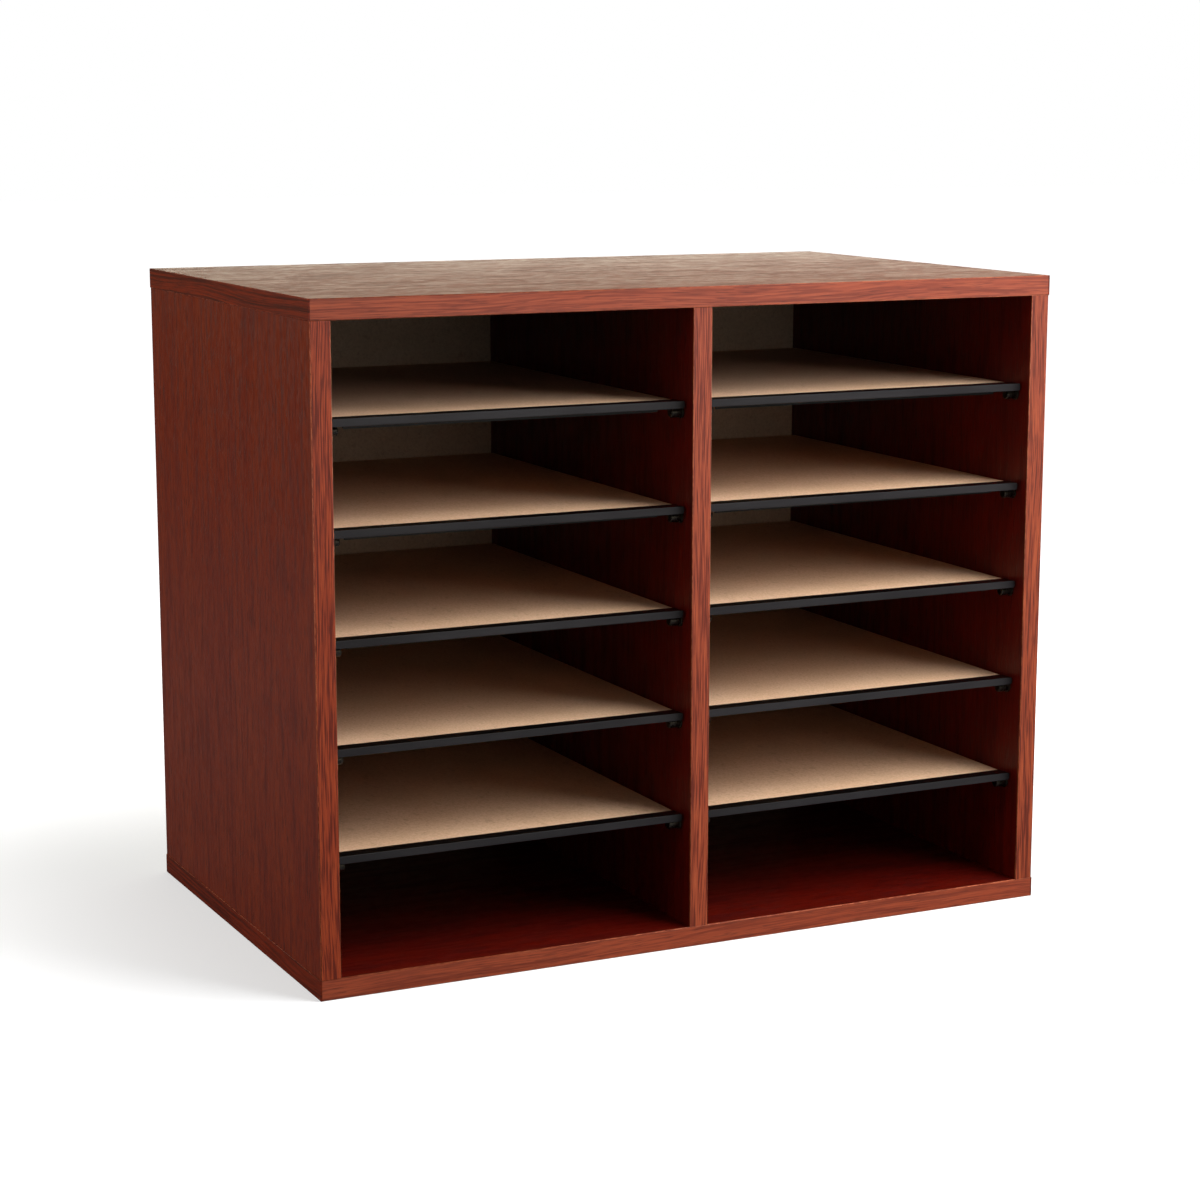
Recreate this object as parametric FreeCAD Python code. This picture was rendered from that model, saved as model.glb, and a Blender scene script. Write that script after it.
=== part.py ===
import FreeCAD, Part
import math
import os

Vector = FreeCAD.Vector

# A desktop literature organizer: a case of laminated boards with two columns of compartments.
# It stands on its bottom panel. X runs across the front, Y from the open front to the back and
# Z up. The origin is the middle of the footprint. All sizes are in millimetres.

# Case boards
overall_width = 495.3
overall_height = 406.4
panel_depth = 301.6
board_thickness = 12.5
side_inset = 0.5
back_thickness = 3.2
back_inset = 1.5

# Edge bands on the visible board edges
band_thickness = 1.0
band_bevel = 0.3

# Removable shelves, five to a column. An opening is the clear height under or over a shelf edge.
shelf_rows = 5
lowest_opening = 65.7
top_opening = 56.0
shelf_thickness = 3.2
shelf_front_recess = 8.0
shelf_rear_gap = 8.0
shelf_side_gap = 1.5
shelf_end_inset = 0.5

# Moulding clipped over the front edge of each shelf
web_thickness = 1.2
flange_thickness = 0.8
top_flange_depth = 10.0
lower_flange_depth = 13.2
rib_drop = 2.8
rib_thickness = 1.0
face_round = 0.4
end_round = 1.2
notch_gap = 0.6
notch_side_gap = 5.5

# Shelf pins
pin_diameter = 6.35
pin_reach = 8.1
pin_edge_inset = 15.4
pin_seat_gap = 0.3
pin_end_gap = 0.5
pin_tip_bevel = 0.8
collar_rim = 0.75
collar_thickness = 1.0
pin_hole_gap = 0.1

# Dowels between the uprights and the top and bottom
dowels_per_joint = 3
dowel_diameter = 6.0
dowel_cover = 3.0
dowel_in_upright = 16.0
dowel_edge_inset = 40.0
dowel_end_gap = 0.5
dowel_hole_gap = 0.1
dowel_bevel = 0.8

# Nails through the back panel
nails_across = 5
nail_corner_inset = 30.0
nail_diameter = 1.6
nail_length = 14.0
nail_head_diameter = 4.5
nail_head_thickness = 0.8

# Small repeated hardware has flats in place of a full round, at most 0.1 mm inside the circle.
pin_flat_count = 12
dowel_flat_count = 8
nail_flat_count = 6

# Case planes
front_y = -(panel_depth + back_thickness) / 2
board_front_y = front_y + band_thickness
board_rear_y = front_y + panel_depth
bottom_top_z = board_thickness
top_underside_z = overall_height - board_thickness
end_x = overall_width / 2
side_outer_x = end_x - side_inset
side_inner_x = side_outer_x - board_thickness
partition_x = board_thickness / 2
column_width = side_inner_x - partition_x

# Uprights, each with the X of its middle plane
upright_middle_x = {
    "left_side": -(side_outer_x - board_thickness / 2),
    "partition": 0.0,
    "right_side": side_outer_x - board_thickness / 2,
}

# Columns, each with its left and right wall
column_walls = {
    "left": (-side_inner_x, -partition_x),
    "right": (partition_x, side_inner_x),
}

# Shelf levels, counted from the top row down. Each is the underside of the shelf board.
moulding_height = shelf_thickness + 2 * flange_thickness
lowest_shelf_z = bottom_top_z + lowest_opening + flange_thickness
highest_shelf_z = top_underside_z - top_opening - shelf_thickness - flange_thickness
row_pitch = (highest_shelf_z - lowest_shelf_z) / (shelf_rows - 1)
shelf_levels = [highest_shelf_z - row * row_pitch for row in range(shelf_rows)]

# Pins, one near the front and one near the back at each end of a shelf
pin_radius = pin_diameter / 2
collar_radius = pin_radius + collar_rim
pin_insert = (board_thickness - pin_end_gap) / 2
pin_ys = (front_y + pin_edge_inset, board_rear_y - pin_edge_inset)
pin_zs = [level - pin_seat_gap - pin_radius for level in shelf_levels]
pin_places = [(y, z) for z in pin_zs for y in pin_ys]

# Dowel positions from front to back
dowel_first_y = front_y + dowel_edge_inset
dowel_last_y = board_rear_y - dowel_edge_inset
dowel_step = (dowel_last_y - dowel_first_y) / (dowels_per_joint - 1)
dowel_ys = [dowel_first_y + i * dowel_step for i in range(dowels_per_joint)]
dowel_places = [(x, y) for x in upright_middle_x.values() for y in dowel_ys]
dowel_in_panel = board_thickness - dowel_cover - dowel_end_gap


def box(x0, x1, y0, y1, z0, z1):
    return Part.makeBox(x1 - x0, y1 - y0, z1 - z0, Vector(x0, y0, z0))


def extrusion(points, direction):
    corners = [Vector(*point) for point in points]
    return Part.Face(Part.makePolygon(corners + corners[:1])).extrude(direction)


def turned(stations, flats):
    """A faceted turning along +Z from (height, radius) stations, with one corner towards +Y."""

    def ring(height, radius):
        angles = [math.pi / 2 + 2 * math.pi * i / flats for i in range(flats)]
        corners = [Vector(radius * math.cos(a), radius * math.sin(a), height) for a in angles]
        return Part.makePolygon(corners + corners[:1])

    steps = [pair for pair in zip(stations[:-1], stations[1:]) if pair[0][0] != pair[1][0]]
    lengths = [Part.makeLoft([ring(*low), ring(*high)], True, True) for low, high in steps]
    solid = lengths[0].fuse(lengths[1:]) if len(lengths) > 1 else lengths[0]
    return solid.removeSplitter()


def placed(solid, position, direction):
    """A copy turned so that its +Z points along direction, then moved to position."""
    copy = solid.copy()
    copy.Placement = FreeCAD.Placement(position, FreeCAD.Rotation(Vector(0, 0, 1), direction))
    return copy


def pin():
    """A collared shelf pin. Z is 0 at the wall's face and the tip points along +Z."""
    return turned(
        [
            (-pin_insert, pin_radius),
            (0, pin_radius),
            (0, collar_radius),
            (collar_thickness, collar_radius),
            (collar_thickness, pin_radius),
            (pin_reach - pin_tip_bevel, pin_radius),
            (pin_reach, pin_radius - pin_tip_bevel),
        ],
        pin_flat_count,
    )


def pin_hole(length):
    return turned([(0, pin_radius + pin_hole_gap), (length, pin_radius + pin_hole_gap)], pin_flat_count)


def pins_on_wall(wall_x, side):
    """The pins of one wall face. The face looks along X towards side."""
    return [placed(pin(), Vector(wall_x, y, z), Vector(side, 0, 0)) for y, z in pin_places]


def dowel():
    """A dowel standing on the joint plane, Z 0, with its short end up in the panel."""
    radius = dowel_diameter / 2
    return turned(
        [
            (-dowel_in_upright, radius - dowel_bevel),
            (dowel_bevel - dowel_in_upright, radius),
            (dowel_in_panel - dowel_bevel, radius),
            (dowel_in_panel, radius - dowel_bevel),
        ],
        dowel_flat_count,
    )


def dowel_hole(depth):
    radius = dowel_diameter / 2 + dowel_hole_gap
    return turned([(0, radius), (depth + dowel_end_gap, radius)], dowel_flat_count)


def drilled(board, hole, positions, direction):
    return board.cut([placed(hole, position, direction) for position in positions])


def flat_panel(z0, z1, joint_z, into):
    """The top or bottom board, with dowel holes that open at joint_z and run along into."""
    board = box(
        band_thickness - end_x, end_x - band_thickness, board_front_y, board_rear_y, z0, z1
    )
    mouths = [Vector(x, y, joint_z) for x, y in dowel_places]
    return drilled(board, dowel_hole(dowel_in_panel), mouths, Vector(0, 0, into))


def upright(middle_x):
    """A side or the partition, with dowel holes in both ends."""
    half = board_thickness / 2
    board = box(
        middle_x - half, middle_x + half, board_front_y, board_rear_y, bottom_top_z, top_underside_z
    )
    for z, into in ((bottom_top_z, 1), (top_underside_z, -1)):
        mouths = [Vector(middle_x, y, z) for y in dowel_ys]
        board = drilled(board, dowel_hole(dowel_in_upright), mouths, Vector(0, 0, into))
    return board


def side_panel(middle_x, inner_x, into):
    """A side, with blind pin holes that open at its inner face."""
    mouths = [Vector(inner_x, y, z) for y, z in pin_places]
    depth = pin_insert + pin_end_gap / 2
    return drilled(upright(middle_x), pin_hole(depth), mouths, Vector(into, 0, 0))


def centre_partition():
    """The partition's pin holes run right through, one for the pins of both columns."""
    mouths = [Vector(-partition_x, y, z) for y, z in pin_places]
    return drilled(upright(0.0), pin_hole(board_thickness), mouths, Vector(1, 0, 0))


def level_front_band(z0, z1):
    """A band on the front edge of the top or bottom, with both long edges bevelled."""
    x0 = band_thickness - end_x
    profile = [
        (x0, board_front_y, z0),
        (x0, front_y + band_bevel, z0),
        (x0, front_y, z0 + band_bevel),
        (x0, front_y, z1 - band_bevel),
        (x0, front_y + band_bevel, z1),
        (x0, board_front_y, z1),
    ]
    return extrusion(profile, Vector(-2 * x0, 0, 0))


def upright_front_band(middle_x):
    """A band on the front edge of an upright, with both long edges bevelled."""
    x0 = middle_x - board_thickness / 2
    x1 = middle_x + board_thickness / 2
    z0 = bottom_top_z
    profile = [
        (x0, board_front_y, z0),
        (x0, front_y + band_bevel, z0),
        (x0 + band_bevel, front_y, z0),
        (x1 - band_bevel, front_y, z0),
        (x1, front_y + band_bevel, z0),
        (x1, board_front_y, z0),
    ]
    return extrusion(profile, Vector(0, 0, top_underside_z - bottom_top_z))


def end_band(side, z0, z1):
    """A band on one end of the top or bottom. It also covers the end of the front band."""
    inner = side * (end_x - band_thickness)
    bevelled = side * (end_x - band_bevel)
    outer = side * end_x
    profile = [
        (inner, front_y, z0),
        (bevelled, front_y, z0),
        (outer, front_y, z0 + band_bevel),
        (outer, front_y, z1 - band_bevel),
        (bevelled, front_y, z1),
        (inner, front_y, z1),
    ]
    return extrusion(profile, Vector(0, panel_depth, 0))


def back_panel():
    half_width = side_outer_x - back_inset
    rear_y = board_rear_y + back_thickness
    top_z = overall_height - back_inset
    return box(-half_width, half_width, board_rear_y, rear_y, back_inset, top_z)


def nail():
    """A nail with its flat head flush at Z 0 and its shank along +Z."""
    head_radius = nail_head_diameter / 2
    head = turned([(0, head_radius), (nail_head_thickness, head_radius)], pin_flat_count)
    shank_radius = nail_diameter / 2
    shank = turned([(nail_head_thickness, shank_radius), (nail_length, shank_radius)], nail_flat_count)
    return head.fuse(shank)


def nails():
    """Nails along the top and bottom, and between the outer pin rows of each upright."""
    reach = end_x - nail_corner_inset
    places = []
    for z in (board_thickness / 2, overall_height - board_thickness / 2):
        for i in range(nails_across):
            places.append((2 * reach * i / (nails_across - 1) - reach, z))
    for x in upright_middle_x.values():
        places.append((x, (pin_zs[0] + pin_zs[1]) / 2))
        places.append((x, (pin_zs[-1] + pin_zs[-2]) / 2))
    rear_y = board_rear_y + back_thickness
    return [placed(nail(), Vector(x, rear_y, z), Vector(0, -1, 0)) for x, z in places]


def shelf_board(walls, level):
    """A thin hardboard shelf whose front edge sits in its moulding."""
    gap = shelf_side_gap + shelf_end_inset
    return box(
        walls[0] + gap,
        walls[1] - gap,
        front_y + shelf_front_recess + web_thickness,
        board_rear_y - shelf_rear_gap,
        level,
        level + shelf_thickness,
    )


def moulding_section(x, face_y, z0):
    """The channel section: a round-edged face, two flanges and a rib under the lower one."""
    z1 = z0 + moulding_height
    rear_top = face_y + top_flange_depth
    rear_low = face_y + lower_flange_depth
    shift = face_round * (1 - math.sqrt(0.5))

    def at(y, z):
        return Vector(x, y, z)

    path = [
        at(face_y, z1 - face_round),
        at(face_y, z0 + face_round),
        at(face_y + face_round, z0),
        at(rear_low - rib_thickness, z0),
        at(rear_low - rib_thickness, z0 - rib_drop),
        at(rear_low, z0 - rib_drop),
        at(rear_low, z0 + flange_thickness),
        at(face_y + web_thickness, z0 + flange_thickness),
        at(face_y + web_thickness, z1 - flange_thickness),
        at(rear_top, z1 - flange_thickness),
        at(rear_top, z1),
        at(face_y + face_round, z1),
    ]
    low_bend = at(face_y + shift, z0 + shift)
    high_bend = at(face_y + shift, z1 - shift)
    edges = [Part.makeLine(a, b) for a, b in zip(path[:-1], path[1:])]
    edges[1] = Part.Arc(path[1], low_bend, path[2]).toShape()
    edges.append(Part.Arc(path[-1], high_bend, path[0]).toShape())
    return Part.Face(Part.Wire(edges))


def end_corner(x, inward, face_y, z, up):
    """What rounding takes off one corner of a moulding's end, seen from the front."""
    centre_x = x + inward * end_round
    centre_z = z + up * end_round
    shift = end_round * math.sqrt(0.5)
    level_point = Vector(centre_x, face_y, z)
    bend = Vector(centre_x - inward * shift, face_y, centre_z - up * shift)
    upright_point = Vector(x, face_y, centre_z)
    corner = Vector(x, face_y, z)
    edges = [
        Part.Arc(level_point, bend, upright_point).toShape(),
        Part.makeLine(upright_point, corner),
        Part.makeLine(corner, level_point),
    ]
    return Part.Face(Part.Wire(edges)).extrude(Vector(0, lower_flange_depth, 0))


def shelf_moulding(walls, level):
    """The moulding of one shelf, with round end corners and a notch at each end for the pins."""
    x0 = walls[0] + shelf_side_gap
    x1 = walls[1] - shelf_side_gap
    face_y = front_y + shelf_front_recess
    z0 = level - flange_thickness
    z1 = z0 + moulding_height
    channel = moulding_section(x0, face_y, z0).extrude(Vector(x1 - x0, 0, 0))
    notch_y = pin_ys[0] - collar_radius - notch_gap
    notch_length = pin_reach - shelf_side_gap + notch_side_gap
    rear_y = face_y + lower_flange_depth
    cuts = []
    for x, inward in ((x0, 1), (x1, -1)):
        inner_x = x + inward * notch_length
        low_x, high_x = min(x, inner_x), max(x, inner_x)
        cuts.append(box(low_x, high_x, notch_y, rear_y, z0 - rib_drop, level))
        cuts.append(end_corner(x, inward, face_y, z0, 1))
        cuts.append(end_corner(x, inward, face_y, z1, -1))
    return channel.cut(cuts)


def pieces():
    """Every node of the organizer by name, each a list of separate solids."""
    top = (top_underside_z, overall_height)
    bottom = (0.0, bottom_top_z)
    middle_x = upright_middle_x
    nodes = {
        "top_panel": [flat_panel(*top, top_underside_z, 1)],
        "bottom_panel": [flat_panel(*bottom, bottom_top_z, -1)],
        "left_side_panel": [side_panel(middle_x["left_side"], -side_inner_x, -1)],
        "right_side_panel": [side_panel(middle_x["right_side"], side_inner_x, 1)],
        "centre_partition": [centre_partition()],
        "back_panel": [back_panel()],
        "top_front_edge_band": [level_front_band(*top)],
        "bottom_front_edge_band": [level_front_band(*bottom)],
        "top_left_end_band": [end_band(-1, *top)],
        "top_right_end_band": [end_band(1, *top)],
        "bottom_left_end_band": [end_band(-1, *bottom)],
        "bottom_right_end_band": [end_band(1, *bottom)],
        "left_side_pins": pins_on_wall(-side_inner_x, 1),
        "partition_left_pins": pins_on_wall(-partition_x, -1),
        "partition_right_pins": pins_on_wall(partition_x, 1),
        "right_side_pins": pins_on_wall(side_inner_x, -1),
        "back_nails": nails(),
    }
    for name, x in middle_x.items():
        nodes[name + "_front_edge_band"] = [upright_front_band(x)]
    joints = {"top_dowels": (top_underside_z, 1), "bottom_dowels": (bottom_top_z, -1)}
    for name, (z, up) in joints.items():
        nodes[name] = [placed(dowel(), Vector(x, y, z), Vector(0, 0, up)) for x, y in dowel_places]
    for column, walls in column_walls.items():
        for row, level in enumerate(shelf_levels, start=1):
            nodes[f"{column}_shelf_{row}_board"] = [shelf_board(walls, level)]
            nodes[f"{column}_shelf_{row}_moulding"] = [shelf_moulding(walls, level)]
    return nodes


def main():
    os.makedirs("parts", exist_ok=True)
    for name, solids in pieces().items():
        shape = solids[0] if len(solids) == 1 else Part.makeCompound(solids)
        shape.exportStep(f"parts/{name}.step")
    print(f"compartment width {column_width:.2f} mm, shelf pitch {row_pitch:.2f} mm")


main()
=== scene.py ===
import math

import bmesh
import bpy
from mathutils import Euler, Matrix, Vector


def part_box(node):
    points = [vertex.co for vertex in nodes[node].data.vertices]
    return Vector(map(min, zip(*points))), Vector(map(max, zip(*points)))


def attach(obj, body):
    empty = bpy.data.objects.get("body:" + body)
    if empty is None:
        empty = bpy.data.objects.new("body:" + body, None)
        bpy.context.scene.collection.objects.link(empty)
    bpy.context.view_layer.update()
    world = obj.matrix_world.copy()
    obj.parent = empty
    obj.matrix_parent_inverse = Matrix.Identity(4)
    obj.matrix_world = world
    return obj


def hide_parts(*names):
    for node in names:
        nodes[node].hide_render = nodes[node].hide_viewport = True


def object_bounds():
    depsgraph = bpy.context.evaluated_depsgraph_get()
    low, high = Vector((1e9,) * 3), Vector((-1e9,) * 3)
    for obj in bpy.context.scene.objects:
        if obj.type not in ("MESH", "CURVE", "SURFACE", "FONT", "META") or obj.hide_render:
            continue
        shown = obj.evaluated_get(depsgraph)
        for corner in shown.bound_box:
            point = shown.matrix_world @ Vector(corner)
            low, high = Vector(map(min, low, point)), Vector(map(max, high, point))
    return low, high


# The looks of a desktop literature organizer. Lengths are in metres, X runs across the front,
# Y from the open front to the back and Z up.

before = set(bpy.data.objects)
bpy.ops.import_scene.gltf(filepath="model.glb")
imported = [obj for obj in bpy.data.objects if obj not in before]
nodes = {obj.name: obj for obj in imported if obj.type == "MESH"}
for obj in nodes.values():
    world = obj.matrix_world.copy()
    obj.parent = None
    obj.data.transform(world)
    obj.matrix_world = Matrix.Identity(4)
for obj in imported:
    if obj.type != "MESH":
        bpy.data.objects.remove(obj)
cad_low, cad_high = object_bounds()

MM = 0.001
X, Y, Z = 0, 1, 2
FRONT = (0, -1, 0)
REAR = (0, 1, 0)

# The photograph's camera: its place in metres, and its turn about X, Y and Z
CAMERA_PLACE = (-0.76536, -1.59190, 0.51636)
CAMERA_TURN_DEGREES = (79.5561, -0.1146, -26.1933)
CAMERA_LENS_MM = 82.1585
CAMERA_SENSOR_MM = 36.0
CAMERA_SHIFT = (-0.01432, 0.00178)

# Names of the pieces, as in the frame
COLUMNS = ("left", "right")
SHELF_ROWS = 5
# The front bands, and how light the print of each is in red, green and blue. The scales differ band
# by band to suit the light on each, so they are partly painted shade, most of all the left band's
# low green and blue.
FRONT_BANDS_LEVEL = {
    "top_front_edge_band": (0.78, 0.81, 0.74),
    "bottom_front_edge_band": (0.82, 0.88, 0.87),
}
FRONT_BANDS_UPRIGHT = {
    "left_side_front_edge_band": (0.76, 0.60, 0.39),
    "partition_front_edge_band": (0.86, 0.90, 0.84),
    "right_side_front_edge_band": (0.735, 0.73, 0.61),
}
# The end bands, and the way along X that each one looks
END_BANDS = {
    "top_left_end_band": -1,
    "bottom_left_end_band": -1,
    "top_right_end_band": 1,
    "bottom_right_end_band": 1,
}
# The boards: whether they stand, how light they are, and the way their face with painted shade
# looks. How light they are is partly painted shade: the bottom board and the partition are darkened
# because their faces lie inside the compartments.
PANELS = {
    "top_panel": (False, (1.0, 1.0, 1.0), (0, 0, -1)),
    # The bottom board's lower scale is painted shade on the floor of the compartments.
    "bottom_panel": (False, (0.6, 0.6, 0.6), (0, 0, 1)),
    "left_side_panel": (True, (1.0, 1.0, 1.0), (1, 0, 0)),
    "right_side_panel": (True, (1.0, 1.0, 1.0), (-1, 0, 0)),
    # The partition's lower scale is painted shade inside the compartments.
    "centre_partition": (True, (0.9, 0.9, 0.9), None),
}


def srgb(red, green, blue):
    """A colour given as 0 to 255 screen values, as linear values with alpha."""
    def linear(value):
        value = value / 255
        return value / 12.92 if value <= 0.04045 else ((value + 0.055) / 1.055) ** 2.4

    return (linear(red), linear(green), linear(blue), 1.0)


class Nodes:
    """Short calls that add and link the shader nodes of one material."""

    def __init__(self, name):
        self.material = bpy.data.materials.new(name)
        self.material.use_nodes = True
        self.use(self.material.node_tree)

    @classmethod
    def of_tree(cls, tree):
        nodes_of_tree = cls.__new__(cls)
        nodes_of_tree.use(tree)
        return nodes_of_tree

    def use(self, tree):
        self.tree = tree
        self.tree.nodes.clear()

    def add(self, kind, inputs=(), **settings):
        node = self.tree.nodes.new(kind)
        for key, value in settings.items():
            setattr(node, key, value)
        for key, value in dict(inputs).items():
            if isinstance(value, bpy.types.NodeSocket):
                self.tree.links.new(value, node.inputs[key])
            else:
                node.inputs[key].default_value = value
        return node

    def place(self):
        """The point on the piece, in metres in the shared frame."""
        return self.add("ShaderNodeTexCoord").outputs["Object"]

    def facing(self, direction):
        """1 on faces that look along direction, falling to 0 at right angles."""
        normal = self.add("ShaderNodeTexCoord").outputs["Normal"]
        dot = self.add("ShaderNodeVectorMath", {0: normal, 1: direction}, operation="DOT_PRODUCT")
        return dot.outputs["Value"]

    def scaled(self, vector, scale, offset=(0, 0, 0)):
        inputs = {"Vector": vector, "Scale": scale, "Location": offset}
        return self.add("ShaderNodeMapping", inputs).outputs["Vector"]

    def parts(self, vector):
        return self.add("ShaderNodeSeparateXYZ", {0: vector}).outputs

    def joined(self, x, y, z):
        return self.add("ShaderNodeCombineXYZ", {0: x, 1: y, 2: z}).outputs[0]

    def noise(self, vector, detail=2.0, roughness=0.5):
        """Noise with one cell to each unit of vector."""
        inputs = {"Vector": vector, "Scale": 1.0, "Detail": detail, "Roughness": roughness}
        return self.add("ShaderNodeTexNoise", inputs).outputs["Fac"]

    def math(self, operation, a, b=0.0, c=0.0, clamp=False):
        node = self.add("ShaderNodeMath", {0: a, 1: b, 2: c}, operation=operation, use_clamp=clamp)
        return node.outputs["Value"]

    def between(self, value, low, high, to_low=0.0, to_high=1.0):
        """A smooth step that leads from to_low at low to to_high at high."""
        inputs = {
            "Value": value,
            "From Min": low,
            "From Max": high,
            "To Min": to_low,
            "To Max": to_high,
        }
        node = self.add("ShaderNodeMapRange", inputs, interpolation_type="SMOOTHSTEP")
        return node.outputs["Result"]

    def mix(self, factor, a, b, blend="MIX"):
        node = self.add("ShaderNodeMix", data_type="RGBA", blend_type=blend)
        for socket, value in ((node.inputs[0], factor), (node.inputs[6], a), (node.inputs[7], b)):
            if isinstance(value, bpy.types.NodeSocket):
                self.tree.links.new(value, socket)
            else:
                socket.default_value = value
        return node.outputs[2]

    def bump(self, height, relief):
        """A normal that makes height look as deep as relief, in metres."""
        return self.add("ShaderNodeBump", {"Height": height, "Distance": relief}).outputs["Normal"]

    def surface(self, **inputs):
        """The finished surface, from sockets or plain values named as the shader names them."""
        named = {key.replace("_", " "): value for key, value in inputs.items()}
        shader = self.add("ShaderNodeBsdfPrincipled", named)
        self.add("ShaderNodeOutputMaterial", {"Surface": shader.outputs["BSDF"]})
        return self.material


# The printed cherry grain: of the boards, of the front bands and of the end bands
CHERRY = {
    "light": srgb(111, 36, 4),
    "base": srgb(98, 26, 3),
    "dark": srgb(76, 15, 3),
    "pore": srgb(48, 9, 3),
}
BAND = {
    "light": srgb(178, 84, 52),
    "base": srgb(150, 58, 33),
    "dark": srgb(104, 33, 17),
    "pore": srgb(74, 23, 13),
}
END_BAND = {
    "light": srgb(112, 34, 8),
    "base": srgb(94, 24, 5),
    "dark": srgb(48, 10, 3),
    "pore": srgb(36, 7, 3),
}
# Painted shade: what the print is multiplied by on faces inside the compartments, a deeper, darker
# red that stands in for their shade
INSIDE_PAINTED_SHADE = (1.0, 0.35, 0.9, 1.0)
# Other surfaces. A pair is the two tones that a pattern mixes.
RAW_EDGE = (srgb(150, 112, 74), srgb(196, 158, 112))
BAND_CORE = (srgb(118, 52, 32), srgb(156, 86, 56))
END_BAND_CORE = (srgb(84, 24, 12), srgb(128, 62, 40))
# The moulding's paler front tones are a painted reflection, mixed by its smears; its near-black
# body is painted shade.
MOULDING_SMEARS_AND_PAINTED_SHEEN = (srgb(24, 22, 24), srgb(35, 32, 35))
MOULDING_BODY = srgb(6, 6, 6)
PLATED_STEEL = (srgb(54, 51, 48), srgb(84, 79, 74))
NAIL_STEEL = (srgb(74, 74, 76), srgb(104, 104, 106))
DOWEL_WOOD = (srgb(206, 172, 124), srgb(178, 140, 92))
# Hardboard: two tones of its mottle, and that of its fibres and flecks
BACK_HARDBOARD = (srgb(212, 190, 166), srgb(196, 172, 146), srgb(164, 138, 112))
SHELF_HARDBOARD = (srgb(221, 185, 153), srgb(207, 169, 135), srgb(168, 132, 100))

# How deep each surface looks, in metres
BOARD_RELIEF = 0.06 * MM
BAND_RELIEF = 0.03 * MM
HARDBOARD_RELIEF = 0.06 * MM
MOULDING_RELIEF = 0.02 * MM
METAL_RELIEF = 0.01 * MM

# Roughness, from and to, and what is added to it on raw edges and left off behind a moulding's face
BOARD_ROUGH = (0.275, 0.41)
RAW_EDGE_ROUGHER = 0.45
BAND_ROUGH = (0.38, 0.5)
CORE_ROUGH = (0.5, 0.65)
HARDBOARD_ROUGH = (0.55, 0.75)
MOULDING_FRONT_ROUGH = (0.34, 0.46)
MOULDING_BODY_SMOOTHER = 0.22
PIN_ROUGH = (0.23, 0.37)
NAIL_ROUGH = (0.29, 0.43)
DOWEL_ROUGH = (0.6, 0.75)

# Strength of the gloss, where 0.5 is the shader's own
BOARD_GLOSS = 0.3
CORE_GLOSS = 0.15
HARDBOARD_GLOSS = 0.3
MOULDING_GLOSS = 0.35

# Cells a metre along X, Y and Z of the patterns that aren't printed grain
CHIPS = (420.0, 420.0, 900.0)
CORE_CUT = (300.0, 300.0, 300.0)
MOTTLE = (22.0, 22.0, 22.0)
FIBRES = (700.0, 700.0, 700.0)
FLECKS = (260.0, 90.0, 260.0)
MOULDING_GRAIN = (60.0, 1400.0, 1400.0)
MOULDING_SMEAR = (18.0, 60.0, 60.0)
BRUSH_MARKS = (900.0, 260.0, 260.0)
DOWEL_GRAIN = (900.0, 900.0, 40.0)

# Steps that turn a noise into a pattern, and the way a face looks into a mask
NOISE_RANGE = (0.3, 0.7)
NOISE_MIDDLE = (0.35, 0.65)
PORE_EDGE = (0.58, 0.70)
FACING_EDGE = (0.5, 0.9)
REAR_EDGE = (0.6, 0.9)

# Layers of the grain: cells a metre along and across it, how far the drift bends them, their
# detail, and a turn that keeps the layers apart
BOARD_GRAIN = {
    "broad": (4.0, 50.0, 3.0, 2.0, 1.0),
    "streaks": (22.0, 190.0, 5.0, 3.0, 2.0),
    "dashes": (60.0, 620.0, 12.0, 2.0, 3.0),
    "pores": (90.0, 1100.0, 20.0, 1.0, 4.0),
    "emboss": (140.0, 280.0, 5.0, 3.0, 5.0),
}
BAND_GRAIN = {
    "flow": (6.0, 520.0, 13.0, 2.0, 1.0),
    "fine": (34.0, 1150.0, 28.0, 2.0, 2.0),
    "pores": (80.0, 1900.0, 46.0, 1.0, 3.0),
}
DRIFT_ALONG = 3.0
BOARD_DRIFT_ACROSS = 14.0
BAND_DRIFT_ACROSS = 9.0
DRIFT_DETAIL = 2.0
SEED_STEP = 3.7


class Grain:
    """A printed wood grain along one axis, with its lines bent by a slow drift."""

    def __init__(self, n, along, across, seed, drift_across):
        place = n.parts(n.place())
        self.n, self.seed = n, seed * SEED_STEP
        self.run, self.cross = place[along], place[across]
        self.drift = self.cells(DRIFT_ALONG, drift_across, 0.0, DRIFT_DETAIL, 0.0)

    def cells(self, along, across, bend, detail, turn):
        """Noise with so many cells a metre along and across the grain."""
        n = self.n
        u = n.math("MULTIPLY", self.run, along)
        v = n.math("MULTIPLY", self.cross, across)
        if bend:
            v = n.math("MULTIPLY_ADD", self.drift, bend, v)
        return n.noise(n.joined(u, v, self.seed + turn), detail=detail)


def shaded(tones, shade):
    """Tones with their red, green and blue scaled."""
    return {key: tuple(c * f for c, f in zip(tone, shade)) + (1.0,) for key, tone in tones.items()}


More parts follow.
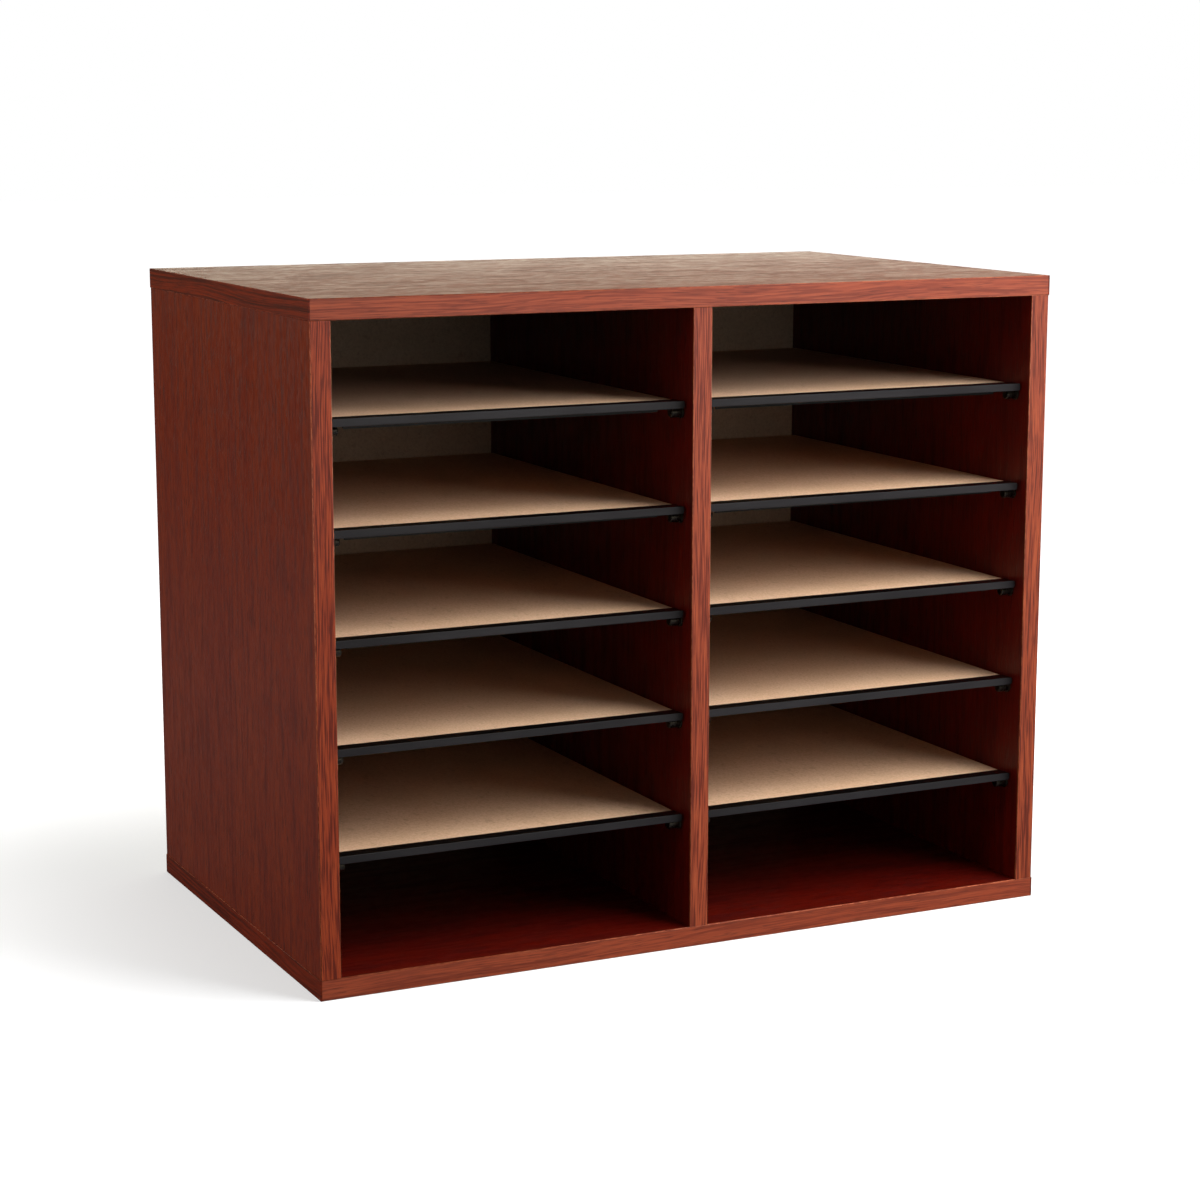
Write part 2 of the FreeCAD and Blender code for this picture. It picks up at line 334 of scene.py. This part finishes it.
def cherry_laminate(name, along, across, seed, tones, painted_shade_facing):
    """Melamine-faced board with a printed and lightly embossed cherry grain, and a raw rear edge.

    Faces that look into the compartments, or all faces where that direction is None, carry painted
    shade: there the print is turned a deeper, darker red.
    """
    n = Nodes(name)
    grain = Grain(n, along, across, seed, BOARD_DRIFT_ACROSS)
    broad = grain.cells(*BOARD_GRAIN["broad"])
    streaks = grain.cells(*BOARD_GRAIN["streaks"])
    dashes = grain.cells(*BOARD_GRAIN["dashes"])
    pores = n.between(grain.cells(*BOARD_GRAIN["pores"]), *PORE_EDGE)
    colour = n.mix(n.between(broad, *NOISE_MIDDLE, 0.0, 0.5), tones["base"], tones["light"])
    colour = n.mix(n.between(streaks, 0.50, 0.68, 0.0, 0.75), colour, tones["dark"])
    colour = n.mix(n.between(streaks, 0.32, 0.44, 0.5, 0.0), colour, tones["light"])
    colour = n.mix(n.between(dashes, 0.48, 0.66, 0.0, 0.6), colour, tones["dark"])
    colour = n.mix(n.math("MULTIPLY", pores, 0.6), colour, tones["pore"])
    # Painted shade: faces inside the compartments are darkened to a deeper red.
    painted_shade_mask = n.between(n.facing(painted_shade_facing), *FACING_EDGE) if painted_shade_facing else 1.0
    colour = n.mix(painted_shade_mask, colour, INSIDE_PAINTED_SHADE, blend="MULTIPLY")
    chips = n.noise(n.scaled(n.place(), CHIPS), detail=3.0)
    raw = n.mix(n.between(chips, *NOISE_MIDDLE), *RAW_EDGE)
    rear = n.between(n.facing(REAR), *REAR_EDGE)
    colour = n.mix(rear, colour, raw)
    emboss = grain.cells(*BOARD_GRAIN["emboss"])
    sheen = n.math("MULTIPLY_ADD", emboss, 0.6, n.math("MULTIPLY", streaks, 0.6))
    rough = n.between(sheen, 0.46, 0.74, *BOARD_ROUGH)
    rough = n.math("MULTIPLY_ADD", rear, RAW_EDGE_ROUGHER, rough, clamp=True)
    height = n.math("MULTIPLY_ADD", pores, -1.0, n.math("MULTIPLY", emboss, 0.8))
    return n.surface(
        Base_Color=colour,
        Roughness=rough,
        Normal=n.bump(height, BOARD_RELIEF),
        Specular_IOR_Level=BOARD_GLOSS,
    )


def cherry_band(name, along, across, seed, tones, lines, waves, gloss):
    """A printed edge band, stronger in figure than the boards.

    lines is the strength of its short fine lines, and waves that of its long wavy ones.
    """
    n = Nodes(name)
    grain = Grain(n, along, across, seed, BAND_DRIFT_ACROSS)
    flow = grain.cells(*BAND_GRAIN["flow"])
    fine = grain.cells(*BAND_GRAIN["fine"])
    pores = n.between(grain.cells(*BAND_GRAIN["pores"]), *PORE_EDGE)
    colour = n.mix(n.between(grain.drift, *NOISE_RANGE, 0.25, 0.45), tones["base"], tones["light"])
    colour = n.mix(n.between(flow, 0.50, 0.64, 0.0, waves), colour, tones["dark"])
    colour = n.mix(n.between(flow, 0.30, 0.42, waves, 0.0), colour, tones["light"])
    colour = n.mix(n.between(fine, 0.46, 0.60, 0.0, lines), colour, tones["dark"])
    colour = n.mix(n.between(fine, 0.32, 0.44, lines, 0.0), colour, tones["light"])
    colour = n.mix(n.math("MULTIPLY", pores, 0.5), colour, tones["pore"])
    height = n.math("MULTIPLY_ADD", pores, -1.0, n.math("MULTIPLY", fine, 0.4))
    return n.surface(
        Base_Color=colour,
        Roughness=n.between(fine, 0.2, 0.8, *BAND_ROUGH),
        Normal=n.bump(height, BAND_RELIEF),
        Specular_IOR_Level=gloss,
    )


def band_core(name, tones):
    """The trimmed edge of a band, where its lighter core shows."""
    n = Nodes(name)
    cut = n.noise(n.scaled(n.place(), CORE_CUT))
    colour = n.mix(n.between(cut, *NOISE_MIDDLE), *tones)
    return n.surface(
        Base_Color=colour,
        Roughness=n.between(cut, *NOISE_RANGE, *CORE_ROUGH),
        Specular_IOR_Level=CORE_GLOSS,
    )


def hardboard(name, tones, seed):
    """Pressed fibre board with short fibres and darker flecks."""
    n = Nodes(name)
    place, shift = n.place(), (seed, 0, 0)
    mottle = n.noise(n.scaled(place, MOTTLE, shift), detail=4.0)
    fibre = n.noise(n.scaled(place, FIBRES, shift), detail=3.0, roughness=0.7)
    fleck = n.noise(n.scaled(place, FLECKS, shift))
    colour = n.mix(n.between(mottle, *NOISE_RANGE, 0.25, 0.75), tones[0], tones[1])
    colour = n.mix(n.between(fibre, 0.35, 0.75, 0.0, 0.5), colour, tones[2])
    colour = n.mix(n.between(fleck, 0.62, 0.74, 0.0, 0.4), colour, tones[2])
    height = n.math("MULTIPLY_ADD", fleck, 0.5, fibre)
    return n.surface(
        Base_Color=colour,
        Roughness=n.between(fibre, *NOISE_RANGE, *HARDBOARD_ROUGH),
        Normal=n.bump(height, HARDBOARD_RELIEF),
        Specular_IOR_Level=HARDBOARD_GLOSS,
    )


def black_moulding():
    """Black plastic, duller on its front face, where it is smeared. Its front face is painted paler
    as a painted reflection, and its other faces are kept near black as painted shade.
    """
    n = Nodes("black_moulding")
    grain = n.noise(n.scaled(n.place(), MOULDING_GRAIN))
    smear = n.noise(n.scaled(n.place(), MOULDING_SMEAR))
    # Painted reflection: the front face gets the paler smeared tones, the other faces the
    # near-black body.
    front = n.between(n.facing(FRONT), *FACING_EDGE)
    colour = n.mix(smear, *MOULDING_SMEARS_AND_PAINTED_SHEEN)
    colour = n.mix(front, MOULDING_BODY, colour)
    rough = n.between(smear, *NOISE_RANGE, *MOULDING_FRONT_ROUGH)
    rough = n.math("SUBTRACT", rough, MOULDING_BODY_SMOOTHER)
    rough = n.math("MULTIPLY_ADD", front, MOULDING_BODY_SMOOTHER, rough)
    return n.surface(
        Base_Color=colour,
        Roughness=rough,
        Normal=n.bump(grain, MOULDING_RELIEF),
        Specular_IOR_Level=MOULDING_GLOSS,
    )


def metal(name, tones, rough):
    """Metal with fine brush marks, which also vary its roughness."""
    n = Nodes(name)
    brushed = n.noise(n.scaled(n.place(), BRUSH_MARKS), detail=3.0)
    return n.surface(
        Base_Color=n.mix(brushed, *tones),
        Metallic=1.0,
        Roughness=n.between(brushed, *NOISE_RANGE, *rough),
        Normal=n.bump(brushed, METAL_RELIEF),
    )


def dowel_wood():
    """Plain wood with its grain upright."""
    n = Nodes("dowel_wood")
    grain = n.noise(n.scaled(n.place(), DOWEL_GRAIN), detail=3.0)
    colour = n.mix(grain, *DOWEL_WOOD)
    return n.surface(Base_Color=colour, Roughness=n.between(grain, *NOISE_RANGE, *DOWEL_ROUGH))


def dress(name, *materials):
    """Gives a carried-over node its materials."""
    data = nodes[name].data
    data.materials.clear()
    for material in materials:
        data.materials.append(material)


def new_piece(name, builder, *materials, smooth=True):
    """A new mesh object from a filled bmesh, which it frees."""
    mesh = bpy.data.meshes.new(name)
    builder.to_mesh(mesh)
    builder.free()
    if smooth:
        mesh.shade_smooth()
    piece = bpy.data.objects.new(name, mesh)
    bpy.context.scene.collection.objects.link(piece)
    for material in materials:
        mesh.materials.append(material)
    return piece


BAND_ROUND = 0.4 * MM
BAND_ROUND_STEPS = 3
# Cosines above which an edge runs along an axis, and a face is square to one
ALONG_AXIS = 0.9
SQUARE_TO_AXIS = 0.99


def edge_band(node, outward, run_axis, face_material, core_material):
    """A band with its two long outer edges rounded, where the trimmed core shows."""
    low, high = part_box(node)
    builder = bmesh.new()
    bmesh.ops.create_cube(builder, size=1.0)
    for vertex in builder.verts:
        for i in range(3):
            vertex.co[i] = low[i] if vertex.co[i] < 0 else high[i]
    outward = Vector(outward)
    face = max(builder.faces, key=lambda f: f.normal.dot(outward))
    long_edges = [
        e for e in face.edges
        if abs((e.verts[0].co - e.verts[1].co).normalized()[run_axis]) > ALONG_AXIS
    ]
    bmesh.ops.bevel(
        builder,
        geom=long_edges,
        offset=BAND_ROUND,
        offset_type="OFFSET",
        segments=BAND_ROUND_STEPS,
        profile=0.5,
        affect="EDGES",
    )
    for f in builder.faces:
        flat = max(abs(c) for c in f.normal) > SQUARE_TO_AXIS
        f.material_index = 0 if flat else 1
    piece = new_piece(node + "_trimmed", builder, face_material, core_material)
    for polygon in piece.data.polygons:
        polygon.use_smooth = polygon.material_index == 1
    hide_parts(node)
    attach(piece, "case")


SHARP_DEGREES = 35.0


def soften(piece):
    """Keeps the corners of a smooth-shaded piece sharp."""
    mesh = piece.data
    builder = bmesh.new()
    builder.from_mesh(mesh)
    for edge in builder.edges:
        if len(edge.link_faces) == 2:
            edge.smooth = edge.calc_face_angle() < math.radians(SHARP_DEGREES)
    builder.to_mesh(mesh)
    builder.free()


def lathe(builder, stations, origin, direction, steps):
    """Adds a turned solid to a bmesh, from stations of (distance along direction, radius)."""
    along = Vector(direction).normalized()
    side = along.orthogonal().normalized()
    other = along.cross(side)
    rings = []
    for distance, radius in stations:
        centre = Vector(origin) + along * distance
        angles = [2 * math.pi * i / steps for i in range(steps)]
        ring = [
            builder.verts.new(centre + (side * math.cos(a) + other * math.sin(a)) * radius)
            for a in angles
        ]
        rings.append(ring)
    for low, high in zip(rings[:-1], rings[1:]):
        for i in range(steps):
            j = (i + 1) % steps
            builder.faces.new((low[i], low[j], high[j], high[i]))
    builder.faces.new(rings[0][::-1])
    builder.faces.new(rings[-1])


SAME_POINT = 1e-6
BOX_ORDER_DIGITS = 5


def solid_boxes(node):
    """The lowest and highest corner of each separate solid in a node, in a fixed order."""
    builder = bmesh.new()
    builder.from_mesh(nodes[node].data)
    bmesh.ops.remove_doubles(builder, verts=builder.verts, dist=SAME_POINT)
    left = set(builder.verts)
    boxes = []
    while left:
        group, queue = set(), [left.pop()]
        while queue:
            vertex = queue.pop()
            group.add(vertex)
            for edge in vertex.link_edges:
                other = edge.other_vert(vertex)
                if other in left:
                    left.discard(other)
                    queue.append(other)
        low = Vector([min(v.co[i] for v in group) for i in range(3)])
        high = Vector([max(v.co[i] for v in group) for i in range(3)])
        boxes.append((low, high))
    builder.free()
    return sorted(boxes, key=lambda box: tuple(round(c, BOX_ORDER_DIGITS) for c in box[0]))


PIN_RADIUS = 3.175 * MM
PIN_REACH = 8.1 * MM
PIN_TIP_ROUND = 0.8 * MM
PIN_TIP_STEPS = 6
PIN_ROOT_CHAMFER = 0.3 * MM
PIN_STEPS = 40
COLLAR_RADIUS = 3.925 * MM
COLLAR_THICKNESS = 1.0 * MM
COLLAR_ROUND = 0.25 * MM
COLLAR_ROUND_STEPS = 4
# The shank ends this far before the collar's rear face.
COLLAR_STEP = 0.001 * MM


def rounded_stations(start, end, steps):
    """Quarter-round stations between two (distance, radius) corners, bulging outwards."""
    (d0, r0), (d1, r1) = start, end
    turns = [math.pi / 2 * i / steps for i in range(steps + 1)]
    return [(d0 + (d1 - d0) * math.sin(t), r1 + (r0 - r1) * math.cos(t)) for t in turns]


def shelf_pins(node, side, material):
    """Turned pins with a collar against the wall and a rounded tip, in place of a node's pins."""
    builder = bmesh.new()
    for low, high in solid_boxes(node):
        tip_x, root_x = (high.x, low.x) if side > 0 else (low.x, high.x)
        wall_x = tip_x - side * PIN_REACH
        centre = Vector((wall_x, (low.y + high.y) / 2, (low.z + high.z) / 2))
        buried = abs(wall_x - root_x)
        stations = [
            (-buried, PIN_RADIUS - PIN_ROOT_CHAMFER),
            (-buried + PIN_ROOT_CHAMFER, PIN_RADIUS),
            (-COLLAR_STEP, PIN_RADIUS),
            (0.0, COLLAR_RADIUS),
            (COLLAR_THICKNESS - COLLAR_ROUND, COLLAR_RADIUS),
        ]
        stations += rounded_stations(
            (COLLAR_THICKNESS - COLLAR_ROUND, COLLAR_RADIUS),
            (COLLAR_THICKNESS, COLLAR_RADIUS - COLLAR_ROUND),
            COLLAR_ROUND_STEPS,
        )[1:]
        stations += [
            (COLLAR_THICKNESS, PIN_RADIUS),
            (PIN_REACH - PIN_TIP_ROUND, PIN_RADIUS),
        ]
        stations += rounded_stations(
            (PIN_REACH - PIN_TIP_ROUND, PIN_RADIUS),
            (PIN_REACH, PIN_RADIUS - PIN_TIP_ROUND),
            PIN_TIP_STEPS,
        )[1:]
        lathe(builder, stations, centre, (side, 0, 0), PIN_STEPS)
    piece = new_piece(node + "_turned", builder, material)
    soften(piece)
    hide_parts(node)
    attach(piece, "case")


NAIL_HEAD_RADIUS = 2.25 * MM
NAIL_HEAD_THICKNESS = 0.8 * MM
NAIL_RADIUS = 0.8 * MM
NAIL_LENGTH = 14.0 * MM
NAIL_STEPS = 24
# The head stands this far proud of the back. Its curve is in shares of that and of its radius.
NAIL_CROWN = 0.35 * MM
NAIL_CROWN_CURVE = ((1.0, 0.25), (0.92, 0.6), (0.75, 0.85), (0.45, 0.97))


def back_nails(material):
    """Round-headed nails through the back, in place of the flush ones."""
    builder = bmesh.new()
    for low, high in solid_boxes("back_nails"):
        head = Vector(((low.x + high.x) / 2, high.y, (low.z + high.z) / 2))
        stations = [(-NAIL_CROWN * up, NAIL_HEAD_RADIUS * out) for up, out in NAIL_CROWN_CURVE]
        stations += [
            (0.0, NAIL_HEAD_RADIUS),
            (NAIL_HEAD_THICKNESS, NAIL_HEAD_RADIUS),
            (NAIL_HEAD_THICKNESS, NAIL_RADIUS),
            (NAIL_LENGTH, NAIL_RADIUS),
        ]
        lathe(builder, stations, head, FRONT, NAIL_STEPS)
    piece = new_piece("back_nails_round", builder, material)
    soften(piece)
    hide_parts("back_nails")
    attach(piece, "case")


# Seeds of the patterns, so that no two pieces of a kind look the same
PANELS_SEED = 1
LEVEL_BANDS_SEED = 1
UPRIGHT_BANDS_SEED = 3
END_BANDS_SEED = 6
BACK_SEED = 3.0
RIGHT_COLUMN_SEED = 10.0
# The figure of each kind of band, as cherry_band names it
LEVEL_FIGURE = {"lines": 0.5, "waves": 0.4, "gloss": 0.3}
UPRIGHT_FIGURE = {"lines": 1.0, "waves": 0.25, "gloss": 0.3}
END_FIGURE = {"lines": 0.4, "waves": 0.7, "gloss": 0.15}


def make_case():
    for seed, (name, (upright, shade, painted_shade_facing)) in enumerate(PANELS.items(), PANELS_SEED):
        tones = shaded(CHERRY, shade)
        along = Z if upright else X
        dress(name, cherry_laminate(name + "_laminate", along, Y, seed, tones, painted_shade_facing))
    core = band_core("band_core", BAND_CORE)
    end_core = band_core("end_band_core", END_BAND_CORE)
    # Each band's scale is partly painted shade, set to the light on that band.
    for seed, (name, shade) in enumerate(FRONT_BANDS_LEVEL.items(), LEVEL_BANDS_SEED):
        face = cherry_band(name + "_print", X, Z, seed, shaded(BAND, shade), **LEVEL_FIGURE)
        edge_band(name, FRONT, X, face, core)
    for seed, (name, shade) in enumerate(FRONT_BANDS_UPRIGHT.items(), UPRIGHT_BANDS_SEED):
        face = cherry_band(name + "_print", Z, X, seed, shaded(BAND, shade), **UPRIGHT_FIGURE)
        edge_band(name, FRONT, Z, face, core)
    for seed, (name, side) in enumerate(END_BANDS.items(), END_BANDS_SEED):
        face = cherry_band(name + "_print", Y, Z, seed, END_BAND, **END_FIGURE)
        edge_band(name, (side, 0, 0), Y, face, end_core)
    dress("back_panel", hardboard("hardboard_back", BACK_HARDBOARD, BACK_SEED))


def make_shelves():
    plastic = black_moulding()
    for column in COLUMNS:
        for row in range(1, SHELF_ROWS + 1):
            name = f"{column}_shelf_{row}"
            seed = row + (RIGHT_COLUMN_SEED if column == "right" else 0.0)
            dress(name + "_board", hardboard(name + "_hardboard", SHELF_HARDBOARD, seed))
            dress(name + "_moulding", plastic)


# The rows of pins, and whether they point along X or against it
PIN_ROWS = {
    "left_side_pins": 1,
    "partition_left_pins": -1,
    "partition_right_pins": 1,
    "right_side_pins": -1,
}


def make_hardware():
    steel = metal("plated_steel", PLATED_STEEL, PIN_ROUGH)
    nail_steel = metal("nail_steel", NAIL_STEEL, NAIL_ROUGH)
    for name, side in PIN_ROWS.items():
        shelf_pins(name, side, steel)
    back_nails(nail_steel)
    wood = dowel_wood()
    dress("top_dowels", wood)
    dress("bottom_dowels", wood)


FLOOR_HALF = 12.0
FLOOR_DROP = 0.2 * MM
# The floor's colour for everything but the camera, with faint patches, and for the camera
FLOOR_PLAIN = (0.14, 0.14, 0.14, 1.0)
FLOOR_PATCH = (0.16, 0.16, 0.16, 1.0)
FLOOR_PATCH_SHARE = 0.05
FLOOR_PATCHES_A_METRE = (1.5, 1.5, 1.5)
FLOOR_SEEN = (0.612, 0.62, 0.632, 1.0)
# The glow that the camera sees: at the object's foot, and past this distance from it in metres
FLOOR_GLOW_NEAR = 0.42
FLOOR_GLOW_FAR = 1.0
FLOOR_SHADE_REACH = 0.42


def make_floor():
    """A pale floor. To the camera it is white, with the object's shadow left on it."""
    n = Nodes("pale_floor")
    rays = n.add("ShaderNodeLightPath").outputs
    seen = rays["Is Camera Ray"]
    patch = n.noise(n.scaled(n.place(), FLOOR_PATCHES_A_METRE))
    patch = n.between(patch, *NOISE_RANGE, 0.0, FLOOR_PATCH_SHARE)
    plain = n.mix(patch, FLOOR_PLAIN, FLOOR_PATCH)
    colour = n.mix(seen, plain, FLOOR_SEEN)
    diffuse = n.add("ShaderNodeBsdfDiffuse", {"Color": colour})
    corner = n.add("ShaderNodeVectorMath", {0: n.place()}, operation="ABSOLUTE").outputs[0]
    footprint = (cad_high.x, cad_high.y, 0.0)
    past = n.add("ShaderNodeVectorMath", {0: corner, 1: footprint}, operation="SUBTRACT").outputs[0]
    past = n.add("ShaderNodeVectorMath", {0: past, 1: (0, 0, 0)}, operation="MAXIMUM").outputs[0]
    away = n.add("ShaderNodeVectorMath", {0: past}, operation="LENGTH").outputs["Value"]
    glow_level = n.between(away, 0.0, FLOOR_SHADE_REACH, FLOOR_GLOW_NEAR, FLOOR_GLOW_FAR)
    strength = n.math("MULTIPLY", seen, glow_level)
    glow = n.add("ShaderNodeEmission", {"Color": (1, 1, 1, 1), "Strength": strength})
    both = n.add("ShaderNodeAddShader", {0: diffuse.outputs[0], 1: glow.outputs[0]})
    n.add("ShaderNodeOutputMaterial", {"Surface": both.outputs[0]})
    builder = bmesh.new()
    bmesh.ops.create_grid(builder, x_segments=1, y_segments=1, size=FLOOR_HALF)
    floor = new_piece("floor", builder, n.material, smooth=False)
    floor.location.z = -FLOOR_DROP


WORLD_LIGHT = (0.21, 0.21, 0.21, 1.0)
WORLD_SEEN = (1.0, 1.0, 1.0, 1.0)
WORLD_MIRRORED = (0.17, 0.155, 0.07, 1.0)
BACKDROP_MIRRORED = (0.40, 0.35, 0.24, 1.0)
# The backdrop's bearing from +Y towards +X in degrees, and the cosines of the angles from there
# at which it is whole and at which it ends
BACKDROP_BEARING = 22.0
BACKDROP_INNER = 0.93
BACKDROP_OUTER = 0.70


def make_world():
    """Plain light all round. The camera sees white, and gloss sees a paler backdrop behind."""
    world = bpy.data.worlds.new("studio")
    world.use_nodes = True
    n = Nodes.of_tree(world.node_tree)
    rays = n.add("ShaderNodeLightPath").outputs
    bearing = math.radians(BACKDROP_BEARING)
    backdrop = (math.sin(bearing), math.cos(bearing), 0.0)
    ray = n.add("ShaderNodeTexCoord").outputs["Generated"]
    toward = n.add("ShaderNodeVectorMath", {0: ray, 1: backdrop}, operation="DOT_PRODUCT")
    zone = n.between(toward.outputs["Value"], BACKDROP_OUTER, BACKDROP_INNER)
    mirrored = n.math("MAXIMUM", rays["Is Glossy Ray"], rays["Is Transmission Ray"])
    colour = n.mix(zone, WORLD_MIRRORED, BACKDROP_MIRRORED)
    colour = n.mix(mirrored, WORLD_LIGHT, colour)
    colour = n.mix(rays["Is Camera Ray"], colour, WORLD_SEEN)
    light = n.add("ShaderNodeBackground", {"Color": colour})
    n.add("ShaderNodeOutputWorld", {"Surface": light.outputs[0]})
    bpy.context.scene.world = world


# Lamps, as seen from the object's middle: bearing from the front towards +X and elevation, both in
# degrees, and distance. Then the lamp's width, its height, its power in watts and its tint.
LAMPS = {
    "key_softbox": (47.0, 36.0, 1.2, 1.1, 1.1, 32.0, (1.0, 1.0, 1.0)),
    "left_fill": (-98.0, 16.0, 1.6, 1.4, 1.0, 18.0, (1.0, 1.0, 0.94)),
    "front_fill": (8.0, 7.0, 1.7, 0.7, 0.5, 1.2, (1.0, 0.97, 0.90)),
    "rear_strip": (159.0, 22.0, 0.55, 0.85, 0.12, 0.75, (1.0, 0.92, 0.76)),
}
# This lamp is two at one place, one for matt surfaces and one for gloss, each at full power. A
# single lamp makes the top white in views from behind, and the pair doesn't. That was found by
# trial with this renderer, and the reason isn't known.
PAIRED_LAMP = "key_softbox"


def make_lamp(name, place, facing, size, power, tint, matt, gloss):
    lamp = bpy.data.lights.new(name, "AREA")
    lamp.shape = "RECTANGLE"
    lamp.size, lamp.size_y = size
    lamp.energy = power
    lamp.color = tint
    holder = bpy.data.objects.new(name, lamp)
    holder.location = place
    holder.rotation_mode = "QUATERNION"
    holder.rotation_quaternion = facing
    holder.visible_camera = False
    holder.visible_diffuse = matt
    holder.visible_glossy = gloss
    bpy.context.scene.collection.objects.link(holder)


def make_lamps():
    middle = (cad_low + cad_high) / 2
    for name, (bearing, elevation, distance, width, height, power, tint) in LAMPS.items():
        a, e = math.radians(bearing), math.radians(elevation)
        away = Vector((math.sin(a) * math.cos(e), -math.cos(a) * math.cos(e), math.sin(e)))
        stand = (middle + away * distance, (-away).to_track_quat("-Z", "Y"), (width, height))
        if name == PAIRED_LAMP:
            make_lamp(name, *stand, power, tint, matt=True, gloss=False)
            make_lamp(name + "_gloss", *stand, power, tint, matt=False, gloss=True)
        else:
            make_lamp(name, *stand, power, tint, matt=True, gloss=True)


def make_camera():
    data = bpy.data.cameras.new("photograph_view")
    data.sensor_width = CAMERA_SENSOR_MM
    data.lens = CAMERA_LENS_MM
    data.shift_x, data.shift_y = CAMERA_SHIFT
    camera = bpy.data.objects.new("photograph_view", data)
    camera.location = CAMERA_PLACE
    camera.rotation_euler = Euler([math.radians(a) for a in CAMERA_TURN_DEGREES], "XYZ")
    bpy.context.scene.collection.objects.link(camera)
    bpy.context.scene.camera = camera


make_camera()
make_case()
make_shelves()
make_hardware()
make_floor()
make_world()
make_lamps()
bpy.context.scene.view_settings.view_transform = "Standard"
